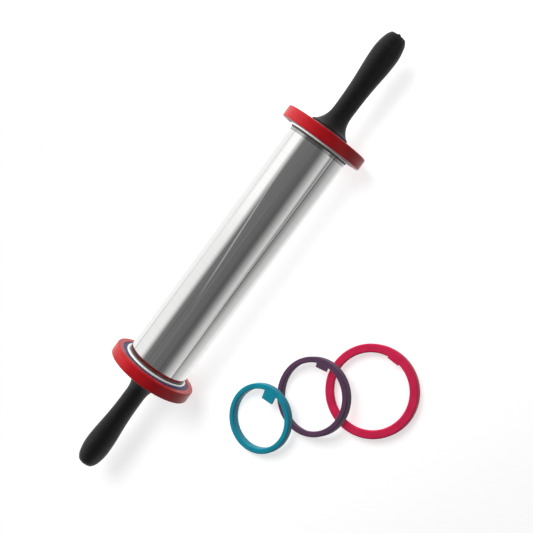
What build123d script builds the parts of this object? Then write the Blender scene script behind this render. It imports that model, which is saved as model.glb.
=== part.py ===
from build123d import *
from math import atan, atan2, cos, degrees, hypot, sin, sqrt
import os

# An adjustable rolling pin lying on a table, with three spare thickness rings beside it.
# X runs along the pin, Z is up and the table is the plane Z = 0. The origin is on the table,
# half way between the pin's axis and the centre of the large spare ring.
# Every length is in millimetres and every angle in degrees.

# Barrel
barrel_diameter = 50.0
barrel_length = 208.0
barrel_wall = 1.2
barrel_edge_chamfer = 0.5

# Thickness rings: each one lifts the barrel by its own rolling gap
thin_gap = 2.0
medium_gap = 5.0
thick_gap = 10.0
thin_ring_width = 6.5
lip_thickness = 1.5
ring_fit = 0.1
medium_lip_reach = 1.4
thick_lip_reach = 1.6
ring_wall = 4.3
thin_edge_chamfer = 0.6
medium_edge_chamfer = 0.6
thick_edge_chamfer = 0.8
ring_inner_chamfer = 0.4

# Tabs that key the rings and give the fingers something to pull
tab_width = 9.5
thin_tab_reach = 7.0
thin_tab_thickness = 2.5
medium_tab_reach = 3.4
thick_tab_reach = 1.3
tab_corner_radius = 0.6
tab_fit = 0.15

# End caps that close the barrel and carry the rings
flange_thickness = 1.2
flange_step = 0.2
flange_edge_chamfer = 0.3
seal_thickness = 1.0
seal_fit = 0.1
plug_length = 12.0
plug_fit = 0.05
plug_lead_in = 0.8
cap_wall = 2.0
cap_boss_radius = 9.6
cap_rib_thickness = 1.6
cap_rib_setback = 2.0
cap_rib_count = 6
spigot_edge_chamfer = 0.5

# Axle, its bushes, thrust washers and retaining clips
axle_radius = 4.0
running_fit = 0.05
bush_wall = 2.4
bush_length = 13.5
bush_flange_radius = 8.4
bush_flange_thickness = 1.5
bush_stand_proud = 0.5
bush_fit = 0.05
washer_radius = 7.6
washer_thickness = 0.8
washer_bore_fit = 0.1
end_float = 0.1
clip_thickness = 0.8
clip_radius = 6.2
clip_groove_depth = 0.5
clip_groove_fit = 0.05
clip_mouth_width = 4.6
axle_end_radius = 3.5
axle_end_length = 44.0
axle_flat_width = 5.6
axle_chamfer = 0.4

# Handles: a soft grip moulded over a stiff core that is screwed to the axle
handle_gap = 1.8
grip_length = 84.8
grip_flange_radius = 16.0
grip_flange_edge = 1.2
grip_neck_radius = 8.05
grip_bulb_radius = 10.5
grip_tip_radius = 6.8
grip_tip_rounding = 0.8
core_radius = 6.0
grip_tip_cover = 13.5
core_disc_radius = 11.5
core_disc_thickness = 1.5
core_fit = 0.05
core_web = 3.0
core_socket_radius = 4.2
screw_radius = 2.0
screw_length = 17.0
screw_head_radius = 3.7
screw_head_height = 2.4
screw_socket_width = 3.0
screw_socket_depth = 1.5
screw_fit = 0.05
screw_hole_overrun = 2.0
plug_cap_radius = 5.2
plug_cap_thickness = 1.0
plug_cap_recess = 1.6
plug_stem_radius = 4.1
plug_stem_depth = 6.0
plug_nub_radius = 1.4
plug_nub_height = 1.5

# Stations along the grip, as shares of its length, and radii between its named ones as shares
flare_station_shares = (0.058, 0.117)
flare_radius_shares = (0.442, 0.122)
neck_station_share = 0.28
swell_station_share = 0.55
swell_radius_share = 0.42
bulb_station_share = 0.80
shoulder_station_share = 0.93
shoulder_radius_share = 0.63

# Spare rings beside the pin
ring_row_distance = 139.0
large_spare_station = -18.0
lean_gap = 0.4
large_tab_azimuth = 1.0
medium_tab_azimuth = 16.0
small_tab_azimuth = 9.0

# Where the leaning spare rings lie, as shares of the radius of the ring that carries each of them
medium_spare_share_along = -0.866
medium_spare_share_across = 0.874
small_spare_share_along = -1.3
small_spare_share_across = 0.733

# One overrun lets every cut run past the face that it opens
overrun = 1.0

# Sizes that follow from the ones above
barrel_radius = barrel_diameter / 2
barrel_bore_radius = barrel_radius - barrel_wall
thin_radius = barrel_radius + thin_gap
medium_radius = barrel_radius + medium_gap
thick_radius = barrel_radius + thick_gap
medium_ring_width = thin_ring_width + lip_thickness
thick_ring_width = medium_ring_width + lip_thickness
thin_bore_radius = thin_radius - ring_wall
medium_bore_radius = thin_radius + ring_fit
thick_bore_radius = medium_radius + ring_fit
medium_lip_radius = thin_radius - medium_lip_reach
thick_lip_radius = medium_radius - thick_lip_reach
spigot_radius = thin_bore_radius - ring_fit
spigot_length = medium_ring_width
flange_radius = thin_radius - flange_step
tab_tip_radius = thin_bore_radius - thin_tab_reach
bush_radius = axle_radius + running_fit + bush_wall
bush_seat_radius = bush_radius + bush_fit
plug_radius = barrel_bore_radius - plug_fit
ring_seat = barrel_length / 2 + seal_thickness + flange_thickness
handle_base = ring_seat + thick_ring_width + handle_gap
axle_height = thick_radius
pin_offset = ring_row_distance / 2
core_length = grip_length - grip_tip_cover
medium_spare_offset_along = medium_spare_share_along * thick_radius
medium_spare_offset_across = medium_spare_share_across * thick_radius
small_spare_offset_along = small_spare_share_along * medium_radius
small_spare_offset_across = small_spare_share_across * medium_radius


def end_plane(side, station):
    """Plane square to the pin's axis at a station from mid-length; its Z points outwards, its X up."""
    return Plane(origin=(side * station, pin_offset, axle_height), x_dir=(0, 0, 1), z_dir=(side, 0, 0))


def section_of(base):
    """Plane through the axis of a base plane: its X is the radius and its Y runs along the axis."""
    return Plane(origin=base.origin, x_dir=base.x_dir, z_dir=-base.y_dir)


def axis_of(base):
    """Axis through the origin of a base plane, along the plane's Z."""
    return Axis(base.origin, base.z_dir)


def bevel_edges(part, radius, size):
    """Bevel every full circle of one radius on a part."""
    circles = part.edges().filter_by(GeomType.CIRCLE)
    chamfer(circles.filter_by(lambda edge: abs(edge.radius - radius) < running_fit), size)


def thickness_ring(base, outer, bore, lip, width, tab_tip, tab_thickness, edge_chamfer, tab_azimuth, label):
    """Stepped ring on a base plane: its bore takes the next smaller ring and its lip covers that ring."""
    with BuildPart() as ring:
        with BuildSketch(base):
            Circle(outer)
            Circle(lip, mode=Mode.SUBTRACT)
        extrude(amount=width)
        bevel_edges(ring, outer, edge_chamfer)
        bevel_edges(ring, lip, ring_inner_chamfer)
        if bore > lip:
            with BuildSketch(base):
                Circle(bore)
            extrude(amount=width - lip_thickness, mode=Mode.SUBTRACT)
        with BuildSketch(base.offset(width - tab_thickness)):
            root = (lip + outer) / 2 if bore == lip else (lip + bore) / 2
            with Locations(Rotation(0, 0, tab_azimuth)):
                with Locations(((tab_tip + root) / 2, 0)):
                    tab = Rectangle(root - tab_tip, tab_width)
            fillet(tab.vertices().sort_by_distance((0, 0))[:2], tab_corner_radius)
        extrude(amount=tab_thickness)
    ring.part.label = label
    return ring.part


def thin_ring(base, tab_azimuth, label):
    """Smallest ring, plain in section, with the long tab that keys it to the end cap."""
    return thickness_ring(base, thin_radius, thin_bore_radius, thin_bore_radius, thin_ring_width,
                          tab_tip_radius, thin_tab_thickness, thin_edge_chamfer, tab_azimuth, label)


def medium_ring(base, tab_azimuth, label):
    """Middle ring: fits over the smallest one and its lip covers that ring's face."""
    return thickness_ring(base, medium_radius, medium_bore_radius, medium_lip_radius, medium_ring_width,
                          medium_lip_radius - medium_tab_reach, lip_thickness, medium_edge_chamfer,
                          tab_azimuth, label)


def thick_ring(base, tab_azimuth, label):
    """Largest ring: fits over the middle one and its lip covers that ring's face."""
    return thickness_ring(base, thick_radius, thick_bore_radius, thick_lip_radius, thick_ring_width,
                          thick_lip_radius - thick_tab_reach, lip_thickness, thick_edge_chamfer,
                          tab_azimuth, label)


def end_cap(side, label):
    """Moulded cap: a ribbed plug in the barrel, a flange, and a spigot with a keyway for the rings."""
    seat = end_plane(side, ring_seat)
    pocket_floor = thin_ring_width - thin_tab_thickness - tab_fit
    cavity_top = pocket_floor - cap_wall
    plug_end = -flange_thickness - plug_length
    skirt_bore = plug_radius - cap_wall
    with BuildPart() as cap:
        with BuildSketch(section_of(seat)):
            with BuildLine():
                Polyline(
                    (bush_seat_radius, plug_end),
                    (cap_boss_radius, plug_end),
                    (cap_boss_radius, cavity_top),
                    (spigot_radius - cap_wall, cavity_top),
                    (spigot_radius - cap_wall, -cap_wall),
                    (skirt_bore, -cap_wall),
                    (skirt_bore, plug_end),
                    (plug_radius - plug_lead_in, plug_end),
                    (plug_radius, plug_end + plug_lead_in),
                    (plug_radius, -flange_thickness),
                    (flange_radius, -flange_thickness),
                    (flange_radius, 0),
                    (spigot_radius, 0),
                    (spigot_radius, spigot_length - spigot_edge_chamfer),
                    (spigot_radius - spigot_edge_chamfer, spigot_length),
                    (bush_flange_radius + bush_fit, spigot_length),
                    (bush_flange_radius + bush_fit, spigot_length + bush_stand_proud - bush_flange_thickness),
                    (bush_seat_radius, spigot_length + bush_stand_proud - bush_flange_thickness),
                    close=True,
                )
            make_face()
        revolve(axis=axis_of(seat))
        bevel_edges(cap, flange_radius, flange_edge_chamfer)
        # Radial ribs brace the bearing boss inside the plug
        rib_plane = end_plane(side, ring_seat + plug_end + cap_rib_setback)
        with BuildSketch(rib_plane):
            rib_start = (cap_boss_radius + bush_seat_radius) / 2
            rib_end = skirt_bore + cap_wall / 2
            with PolarLocations((rib_start + rib_end) / 2, cap_rib_count):
                Rectangle(rib_end - rib_start, cap_rib_thickness)
        extrude(amount=-cap_wall - plug_end - cap_rib_setback)
        # Keyway for the long tab of the smallest ring
        with BuildSketch(seat.offset(pocket_floor)):
            keyway_start = tab_tip_radius - tab_fit
            with Locations(((keyway_start + thin_radius) / 2, 0)):
                Rectangle(thin_radius - keyway_start, tab_width + 2 * tab_fit)
        extrude(amount=spigot_length, mode=Mode.SUBTRACT)
    cap.part.label = label
    return cap.part


def end_seal(side, label):
    """Thin dark gasket between the cap's flange and the barrel's rim."""
    with BuildPart() as seal:
        with BuildSketch(end_plane(side, barrel_length / 2)):
            Circle(barrel_radius)
            Circle(plug_radius + seal_fit, mode=Mode.SUBTRACT)
        extrude(amount=seal_thickness)
    seal.part.label = label
    return seal.part


def axle_bush(side, label):
    """Flanged plain bearing pressed into the cap's boss."""
    outer_face = ring_seat + spigot_length + bush_stand_proud
    inner_face = outer_face - bush_length
    with BuildPart() as bush:
        with BuildSketch(end_plane(side, inner_face)):
            Circle(bush_radius)
        extrude(amount=bush_length)
        with BuildSketch(end_plane(side, outer_face - bush_flange_thickness)):
            Circle(bush_flange_radius)
        extrude(amount=bush_flange_thickness)
        with BuildSketch(end_plane(side, inner_face)):
            Circle(axle_radius + running_fit)
        extrude(amount=bush_length, mode=Mode.SUBTRACT)
    bush.part.label = label
    return bush.part


def thrust_washer(side, label):
    """Washer between the bush's flange and the retaining clip."""
    station = ring_seat + spigot_length + bush_stand_proud + end_float
    with BuildPart() as washer:
        with BuildSketch(end_plane(side, station)):
            Circle(washer_radius)
            Circle(axle_radius + washer_bore_fit, mode=Mode.SUBTRACT)
        extrude(amount=washer_thickness)
    washer.part.label = label
    return washer.part


def clip_station():
    """Distance from mid-length to the inner face of a retaining clip."""
    return ring_seat + spigot_length + bush_stand_proud + end_float + washer_thickness + clip_groove_fit


def retaining_clip(side, label):
    """Open spring ring that snaps into the axle's groove."""
    groove_radius = axle_radius - clip_groove_depth
    with BuildPart() as clip:
        with BuildSketch(end_plane(side, clip_station())):
            Circle(clip_radius)
            Circle(groove_radius + clip_groove_fit, mode=Mode.SUBTRACT)
            with Locations((-clip_radius, 0)):
                Rectangle(2 * clip_radius, clip_mouth_width, mode=Mode.SUBTRACT)
        extrude(amount=clip_thickness)
    clip.part.label = label
    return clip.part


def handle_core(side, label):
    """Stiff sleeve with a base disc; its double-D bore keeps the handle from turning on the axle."""
    base = end_plane(side, handle_base)
    bore_depth = axle_end_length + core_fit
    with BuildPart() as core:
        with BuildSketch(base):
            Circle(core_radius)
        extrude(amount=core_length)
        with BuildSketch(base):
            Circle(core_disc_radius)
        extrude(amount=core_disc_thickness)
        with BuildSketch(base):
            Circle(axle_end_radius + core_fit)
            Rectangle(axle_flat_width + 2 * core_fit, 2 * core_radius, mode=Mode.INTERSECT)
        extrude(amount=bore_depth, mode=Mode.SUBTRACT)
        with BuildSketch(base.offset(bore_depth)):
            Circle(screw_radius + screw_fit)
        extrude(amount=core_web, mode=Mode.SUBTRACT)
        with BuildSketch(base.offset(bore_depth + core_web)):
            Circle(core_socket_radius)
        extrude(amount=core_length, mode=Mode.SUBTRACT)
    core.part.label = label
    return core.part


def grip(side, label):
    """Soft handle: a thin flange flares into a slim neck, swells to a bulb and rounds off at the tip."""
    base = end_plane(side, handle_base)
    flare_height = grip_flange_radius - grip_neck_radius
    swell_height = grip_bulb_radius - grip_neck_radius
    round_height = grip_bulb_radius - grip_tip_radius
    flare_points = [
        (grip_neck_radius + radius_share * flare_height, station_share * grip_length)
        for station_share, radius_share in zip(flare_station_shares, flare_radius_shares)
    ]
    flange_corner = (grip_flange_radius, grip_flange_edge)
    neck_point = (grip_neck_radius, neck_station_share * grip_length)
    swell_point = (grip_neck_radius + swell_radius_share * swell_height, swell_station_share * grip_length)
    bulb_point = (grip_bulb_radius, bulb_station_share * grip_length)
    shoulder_radius = grip_tip_radius + shoulder_radius_share * round_height
    shoulder_point = (shoulder_radius, shoulder_station_share * grip_length)
    tip_point = (grip_tip_radius, grip_length - grip_tip_rounding)
    face_point = (grip_tip_radius - grip_tip_rounding, grip_length)
    with BuildPart() as handle:
        with BuildSketch(section_of(base)):
            with BuildLine():
                Line((0, 0), (grip_flange_radius, 0))
                Line((grip_flange_radius, 0), flange_corner)
                Spline(flange_corner, *flare_points, neck_point, tangents=((-1, 0.45), (0, 1)))
                Spline(neck_point, swell_point, bulb_point, tangents=((0, 1), (0, 1)))
                Spline(bulb_point, shoulder_point, tip_point, tangents=((0, 1), (-0.9, 1)))
                Line(tip_point, face_point)
                Line(face_point, (0, grip_length))
                Line((0, grip_length), (0, 0))
            make_face()
        revolve(axis=axis_of(base))
        # Seat of the core and of its base disc
        with BuildSketch(base):
            Circle(core_radius + core_fit)
        extrude(amount=core_length + core_fit, mode=Mode.SUBTRACT)
        with BuildSketch(base):
            Circle(core_disc_radius + core_fit)
        extrude(amount=core_disc_thickness + core_fit, mode=Mode.SUBTRACT)
        # Way for the end plug's stem and a shallow seat for its cap
        with BuildSketch(base.offset(core_length)):
            Circle(plug_stem_radius + core_fit)
        extrude(amount=grip_length - core_length, mode=Mode.SUBTRACT)
        with BuildSketch(base.offset(grip_length - plug_cap_recess)):
            Circle(plug_cap_radius + core_fit)
        extrude(amount=plug_cap_recess + overrun, mode=Mode.SUBTRACT)
    handle.part.label = label
    return handle.part


def handle_screw(side, label):
    """Socket-head screw that draws the core on to the axle's shoulder."""
    head_base = end_plane(side, handle_base + axle_end_length + core_fit + core_web)
    with BuildPart() as screw:
        with BuildSketch(head_base):
            Circle(screw_head_radius)
        extrude(amount=screw_head_height)
        with BuildSketch(head_base):
            Circle(screw_radius)
        extrude(amount=-screw_length)
        with BuildSketch(head_base.offset(screw_head_height - screw_socket_depth)):
            RegularPolygon(screw_socket_width / 2, 6, major_radius=False)
        extrude(amount=screw_socket_depth + overrun, mode=Mode.SUBTRACT)
    screw.part.label = label
    return screw.part


def end_plug(side, label):
    """Cap over the screw at the handle's tip, with a stem in the core and a small centre nub."""
    seat = end_plane(side, handle_base + grip_length - plug_cap_recess)
    stem_length = grip_tip_cover - plug_cap_recess + plug_stem_depth
    with BuildPart() as plug:
        with BuildSketch(seat):
            Circle(plug_cap_radius)
        extrude(amount=plug_cap_thickness)
        with BuildSketch(seat):
            Circle(plug_stem_radius)
        extrude(amount=-stem_length)
        with BuildSketch(seat.offset(plug_cap_thickness)):
            Circle(plug_nub_radius)
        extrude(amount=plug_nub_height)
        nub_rim = plug.edges().filter_by(GeomType.CIRCLE).sort_by(axis_of(seat))[-1]
        chamfer(nub_rim, plug_nub_height / 2)
    plug.part.label = label
    return plug.part


def crossing_reach(distance, bore, rim):
    """How far from a leaning ring's centre its bore circle crosses the rim of the ring that carries it."""
    return (distance**2 + bore**2 - rim**2) / (2 * distance)


def lean_of(outer, support_height, reach, edge_chamfer):
    """Lean of a ring whose low edge is on the table and whose underside clears a support."""
    return atan((support_height + lean_gap) / (reach + outer - edge_chamfer))


def leaning_plane(centre, lift_azimuth, lean, outer, edge_chamfer):
    """Base plane of a leaning ring: X points uphill, and the ring's low edge just meets the table."""
    height = (outer - edge_chamfer) * sin(lean)
    uphill = (cos(lean) * cos(lift_azimuth), cos(lean) * sin(lift_azimuth), sin(lean))
    normal = (-sin(lean) * cos(lift_azimuth), -sin(lean) * sin(lift_azimuth), cos(lean))
    return Plane(origin=(centre[0], centre[1], height), x_dir=uphill, z_dir=normal)


# Barrel tube
with BuildPart() as barrel_tube:
    with BuildSketch(end_plane(1, -barrel_length / 2)):
        Circle(barrel_radius)
        Circle(barrel_bore_radius, mode=Mode.SUBTRACT)
    extrude(amount=barrel_length)
    bevel_edges(barrel_tube, barrel_radius, barrel_edge_chamfer)
barrel_tube.part.label = "barrel_tube"

# Axle: a full-size shaft between the handles, with clip grooves, flatted ends and tapped end holes
with BuildPart() as axle_rod:
    with BuildSketch(end_plane(1, -handle_base)):
        Circle(axle_radius)
    extrude(amount=2 * handle_base)
    for side in (-1, 1):
        shoulder = end_plane(side, handle_base)
        with BuildSketch(shoulder):
            Circle(axle_end_radius)
            Rectangle(axle_flat_width, 2 * axle_end_radius, mode=Mode.INTERSECT)
        extrude(amount=axle_end_length)
        end_rim = axle_rod.edges().group_by(axis_of(shoulder))[-1]
        chamfer(end_rim, axle_chamfer)
        with BuildSketch(end_plane(side, clip_station() - clip_groove_fit)):
            Circle(axle_radius + overrun)
            Circle(axle_radius - clip_groove_depth, mode=Mode.SUBTRACT)
        extrude(amount=clip_thickness + 2 * clip_groove_fit, mode=Mode.SUBTRACT)
        hole_depth = screw_length - core_web + screw_hole_overrun
        with BuildSketch(shoulder.offset(axle_end_length - hole_depth)):
            Circle(screw_radius + screw_fit)
        extrude(amount=hole_depth, mode=Mode.SUBTRACT)
axle_rod.part.label = "axle_rod"

# Pieces that repeat at both ends of the pin
pieces = [barrel_tube.part, axle_rod.part]
for side, name in ((-1, "left"), (1, "right")):
    seat = end_plane(side, ring_seat)
    pieces += [
        end_cap(side, f"{name}_end_cap"),
        end_seal(side, f"{name}_end_seal"),
        axle_bush(side, f"{name}_axle_bush"),
        thrust_washer(side, f"{name}_thrust_washer"),
        retaining_clip(side, f"{name}_retaining_clip"),
        handle_core(side, f"{name}_handle_core"),
        grip(side, f"{name}_handle_grip"),
        handle_screw(side, f"{name}_handle_screw"),
        end_plug(side, f"{name}_end_plug"),
        thin_ring(seat, 0, f"{name}_teal_ring"),
        medium_ring(seat, 0, f"{name}_purple_ring"),
        thick_ring(seat, 0, f"{name}_red_ring"),
    ]

# Spare rings: the large one lies flat, the middle one leans on it and the small one leans on that
large_base = Plane(origin=(large_spare_station, -pin_offset, 0), x_dir=(1, 0, 0), z_dir=(0, 0, 1))
medium_centre = (
    large_base.origin.X + medium_spare_offset_along,
    large_base.origin.Y + medium_spare_offset_across,
)
medium_distance = hypot(medium_spare_offset_along, medium_spare_offset_across)
medium_lift_azimuth = atan2(-medium_spare_offset_across, -medium_spare_offset_along)
medium_reach = crossing_reach(medium_distance, medium_bore_radius, thick_radius)
medium_lean = lean_of(medium_radius, thick_ring_width, medium_reach, medium_edge_chamfer)
medium_base = leaning_plane(
    medium_centre, medium_lift_azimuth, medium_lean, medium_radius, medium_edge_chamfer
)

# The small ring rests on the middle ring's leaning rim, where its own bore crosses that rim
rim_centre = medium_base.origin + medium_base.z_dir * medium_ring_width
small_centre = (rim_centre.X + small_spare_offset_along, rim_centre.Y + small_spare_offset_across)
small_distance = hypot(small_spare_offset_along, small_spare_offset_across)
small_lift_azimuth = atan2(-small_spare_offset_across, -small_spare_offset_along)
small_reach = crossing_reach(small_distance, thin_bore_radius, medium_radius)
rim_along = small_distance - small_reach
rim_across = sqrt(medium_radius**2 - rim_along**2)
turn = small_lift_azimuth - medium_lift_azimuth
rim_drop = rim_along * cos(turn) - rim_across * abs(sin(turn))
rim_height = rim_centre.Z - rim_drop * sin(medium_lean)
small_lean = lean_of(thin_radius, rim_height, small_reach, thin_edge_chamfer)
small_base = leaning_plane(small_centre, small_lift_azimuth, small_lean, thin_radius, thin_edge_chamfer)

pieces += [
    thick_ring(large_base, large_tab_azimuth, "spare_red_ring"),
    medium_ring(medium_base, medium_tab_azimuth - degrees(medium_lift_azimuth), "spare_purple_ring"),
    thin_ring(small_base, small_tab_azimuth - degrees(small_lift_azimuth), "spare_teal_ring"),
]

os.makedirs("parts", exist_ok=True)
for piece in pieces:
    export_step(piece, f"parts/{piece.label}.step")
print(len(pieces), "pieces")
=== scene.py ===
import math

import bmesh
import bpy
import numpy as np
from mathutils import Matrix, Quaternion, Vector


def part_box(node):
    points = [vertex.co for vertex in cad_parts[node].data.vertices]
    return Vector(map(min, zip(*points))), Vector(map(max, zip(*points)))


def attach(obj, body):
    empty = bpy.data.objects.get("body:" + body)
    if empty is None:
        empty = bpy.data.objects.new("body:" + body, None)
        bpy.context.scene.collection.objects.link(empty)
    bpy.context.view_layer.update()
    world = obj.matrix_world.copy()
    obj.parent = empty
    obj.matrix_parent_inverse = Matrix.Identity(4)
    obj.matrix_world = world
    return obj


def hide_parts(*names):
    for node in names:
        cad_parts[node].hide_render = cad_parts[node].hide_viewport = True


# The looks of an adjustable rolling pin with spare thickness rings.
# Shapes are worked out in millimetres on the pin's own stations and put into meshes in metres.
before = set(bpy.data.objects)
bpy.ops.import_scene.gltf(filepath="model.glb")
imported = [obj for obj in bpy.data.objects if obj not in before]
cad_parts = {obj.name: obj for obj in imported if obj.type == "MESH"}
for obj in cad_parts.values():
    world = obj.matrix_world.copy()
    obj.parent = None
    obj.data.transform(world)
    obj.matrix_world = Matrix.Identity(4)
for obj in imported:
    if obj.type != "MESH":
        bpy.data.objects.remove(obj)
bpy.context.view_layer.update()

MM = 0.001

# The camera looks down on the table from the ring side, turned so that the pin climbs to the right
CAMERA_AIM = (0.0084, 0.0451, 0.035)
CAMERA_DISTANCE = 0.6209
CAMERA_AZIMUTH = 288.01
CAMERA_ELEVATION = 69.06
CAMERA_ROLL = -70.29
CAMERA_LENS = 55.78
CAMERA_SENSOR = 36.0
CAMERA_CLIP_NEAR = 0.01
CAMERA_CLIP_FAR = 50.0

# Sizes of the pin that its surfaces are worked out from, in millimetres
BARREL_RADIUS = 25.0
BARREL_BORE = 23.8
BARREL_LENGTH = 208.0
BARREL_TAPER_RUN = 2.7
BARREL_TAPER_DROP = 0.23
BARREL_RIM_ROUNDING = 0.45
SEAL_THICKNESS = 1.0
SEAL_FIT = 0.1
SEAL_INNER_ROUNDING = 0.1
SEAL_OUTER_ROUNDING = 0.2
FLANGE_RADIUS = 26.8
FLANGE_THICKNESS = 1.2
FLANGE_RIM_ROUNDING = 0.35
SPIGOT_RADIUS = 22.6
SPIGOT_LENGTH = 8.0
KEYWAY_FLOOR = 3.85
KEYWAY_DEPTH_RADIUS = 15.55
KEYWAY_WIDTH = 9.8
PLUG_RADIUS = 23.75
PLUG_LENGTH = 12.0
CAP_WALL = 2.0
CAP_BOSS_RADIUS = 9.6
CAP_EDGE_ROUNDING = 0.2
BUSH_SEAT_RADIUS = 6.5
BUSH_FLANGE_SEAT = 8.45
BUSH_FLANGE_SINK = 1.0
RIB_COUNT = 6
RIB_THICKNESS = 1.6
RIB_SETBACK = 2.0
GRIP_LENGTH = 84.8
GRIP_GAP = 1.8
GRIP_FLANGE_RADIUS = 16.0
GRIP_FLANGE_EDGE = 1.2
GRIP_FOOT_ROUNDING = 0.8
GRIP_NECK_RADIUS = 8.05
GRIP_BULB_RADIUS = 10.5
GRIP_TIP_RADIUS = 6.8
GRIP_TIP_ROUNDING = 0.8
GRIP_TIP_INSET = 0.4
GRIP_TIP_COVER = 13.5
CORE_RADIUS = 6.0
CORE_DISC_RADIUS = 11.5
CORE_DISC_THICKNESS = 1.5
CORE_FIT = 0.05
TIP_PLUG_RADIUS = 5.2
TIP_PLUG_THICKNESS = 1.0
TIP_PLUG_RECESS = 1.6
TIP_DISH_RADIUS = 3.2
TIP_DISH_RIM = 4.2
TIP_DISH_FLOOR = 0.85
TIP_NUB_RADIUS = 1.4
TIP_NUB_TOP = 3.5
TIP_STEM_RADIUS = 4.1
TIP_STEM_DEPTH = 6.0
TAB_WIDTH = 9.5
LIP_THICKNESS = 1.5
RING_EDGE_ROUNDING = 0.45
TEAL_RING = {
    "outer": 27.0, "bore": 22.7, "lip": 22.7, "width": 6.5,
    "tab_tip": 15.7, "tab_thickness": 2.5, "rim_rounding": 1.0,
}
PURPLE_RING = {
    "outer": 30.0, "bore": 27.1, "lip": 25.6, "width": TEAL_RING["width"] + LIP_THICKNESS,
    "tab_tip": 22.2, "tab_thickness": LIP_THICKNESS, "rim_rounding": 0.9,
}
RED_RING = {
    "outer": 35.0, "bore": 30.1, "lip": 28.4, "width": PURPLE_RING["width"] + LIP_THICKNESS,
    "tab_tip": 27.1, "tab_thickness": LIP_THICKNESS, "rim_rounding": 1.2,
}

# Stations along the pin, from its middle to where the rings and the grips start
RING_STATION = BARREL_LENGTH / 2 + SEAL_THICKNESS + FLANGE_THICKNESS
GRIP_STATION = RING_STATION + RED_RING["width"] + GRIP_GAP
barrel_low, barrel_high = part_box("barrel_tube")
pin_axis_y = (barrel_low.y + barrel_high.y) / 2
pin_axis_z = (barrel_low.z + barrel_high.z) / 2

# Columns of points round each turned piece, and across and beside the key of a keyed one
BARREL_COLUMNS = 288
SEAL_COLUMNS = 200
GRIP_COLUMNS = 144
TIP_PLUG_COLUMNS = 96
KEY_COLUMNS = 9
BESIDE_KEY_COLUMNS = 220

# Points nearer than this are one point, in millimetres, and rims are found to within RIM_MATCH
SEAM_GAP = 0.002
RIM_MATCH = 0.02

# The middle band that noise values mostly keep to, and the stretch of a grain that has none
NOISE_LOW = 0.3
NOISE_HIGH = 0.7
EVEN = (1.0, 1.0, 1.0)


def linear_colour(code):
    """A six-figure sRGB hex code as the linear colour that a shader takes: a share s becomes s/12.92
    up to 0.04045 and ((s + 0.055)/1.055)^2.4 above."""
    steps = [int(code[i:i + 2], 16) / 255 for i in (0, 2, 4)]
    return tuple(s / 12.92 if s <= 0.04045 else ((s + 0.055) / 1.055) ** 2.4 for s in steps) + (1.0,)


def add_node(tree, kind, settings=None, inputs=None):
    """Add one node: settings are its own properties, inputs are values or sockets to link."""
    node = tree.nodes.new(kind)
    for name, value in (settings or {}).items():
        setattr(node, name, value)
    for name, value in (inputs or {}).items():
        if isinstance(value, bpy.types.NodeSocket):
            tree.links.new(value, node.inputs[name])
        else:
            node.inputs[name].default_value = value
    return node


def grained_finish(name, surface, grains, tint, gloss, reliefs):
    """A finish drawn from noise grains on the piece's own coordinates. Each grain has a size in
    millimetres, a detail and a stretch along each axis. The tint is a grain and the two colours that it
    drifts between, the gloss is a grain and its range of roughness, and each relief is a grain with its
    depth in millimetres and its strength, laid over the one before. What surface gives is the same all
    over."""
    finish = bpy.data.materials.new(name)
    finish.use_nodes = True
    tree = finish.node_tree
    tree.nodes.clear()
    place = add_node(tree, "ShaderNodeTexCoord").outputs["Object"]
    noise = {}
    for grain, (size, detail, stretch) in grains.items():
        scale = tuple(1.0 / (size * MM * share) for share in stretch)
        laid = add_node(tree, "ShaderNodeMapping", inputs={"Vector": place, "Scale": scale})
        noise[grain] = add_node(tree, "ShaderNodeTexNoise", inputs={
            "Vector": laid.outputs["Vector"], "Scale": 1.0, "Detail": detail}).outputs["Fac"]
    grain, first, second = tint
    drift = add_node(tree, "ShaderNodeMapRange", inputs={
        "Value": noise[grain], "From Min": NOISE_LOW, "From Max": NOISE_HIGH})
    colour = add_node(tree, "ShaderNodeMix", {"data_type": "RGBA"}, {
        0: drift.outputs["Result"], 6: linear_colour(first), 7: linear_colour(second)})
    grain, smoothest, roughest = gloss
    roughness = add_node(tree, "ShaderNodeMapRange", inputs={
        "Value": noise[grain], "From Min": NOISE_LOW, "From Max": NOISE_HIGH,
        "To Min": smoothest, "To Max": roughest})
    shaped = {}
    for grain, depth, strength in reliefs:
        bump = add_node(tree, "ShaderNodeBump", inputs={
            "Height": noise[grain], "Distance": depth * MM, "Strength": strength} | shaped)
        shaped = {"Normal": bump.outputs["Normal"]}
    shader = add_node(tree, "ShaderNodeBsdfPrincipled", inputs=surface | shaped | {
        "Base Color": colour.outputs[2], "Roughness": roughness.outputs["Result"]})
    add_node(tree, "ShaderNodeOutputMaterial", inputs={"Surface": shader.outputs["BSDF"]})
    return finish


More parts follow.
